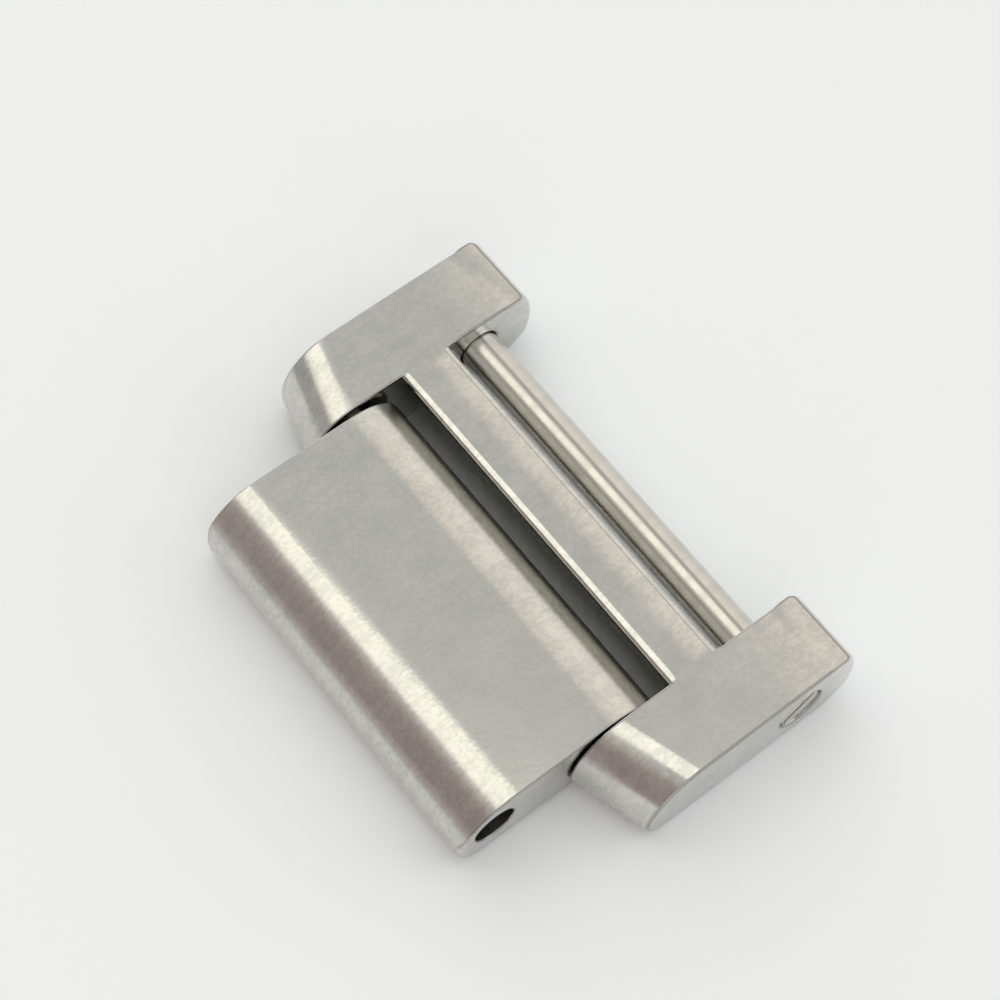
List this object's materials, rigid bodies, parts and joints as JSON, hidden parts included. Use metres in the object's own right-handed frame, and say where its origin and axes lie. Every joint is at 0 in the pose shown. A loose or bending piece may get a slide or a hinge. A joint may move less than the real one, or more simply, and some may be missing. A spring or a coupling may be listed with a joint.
{
  "type": "watch bracelet link",
  "caption": "Articulated watch bracelet link: an H frame with a hinged centre link at its front and a slotted screw pin across its rear slot.",
  "frame": {"origin": "centre of the footprint, on the underside of the H frame", "axes": "+X across the bracelet, out of the screw's head; +Y along the bracelet, towards the screw pin; +Z away from the wrist"},
  "size_m": [0.02, 0.0142, 0.0031],
  "materials": {
    "h_frame": "satin, finely brushed along the bracelet",
    "centre_link": "satin, finely brushed along the bracelet",
    "hinge_pin": "turned",
    "link_screw": "polished, with fine turning marks"
  },
  "bodies": {
    "frame": {"h_frame": "h_frame", "hinge_pin": "hinge_pin"},
    "centre": {"centre_link": "centre_link"},
    "screw": {"link_screw": "link_screw"}
  },
  "joints": [
    {"name": "centre_hinge", "type": "hinge", "parent": "frame", "child": "centre", "pos_m": [0, -0.00047, 0.00155], "axis": [1, 0, 0], "range_deg": [-95, 95]},
    {"name": "screw_withdraw", "type": "slide", "parent": "frame", "child": "screw", "axis": [1, 0, 0], "range_m": [0, 0.0195]}
  ]
}
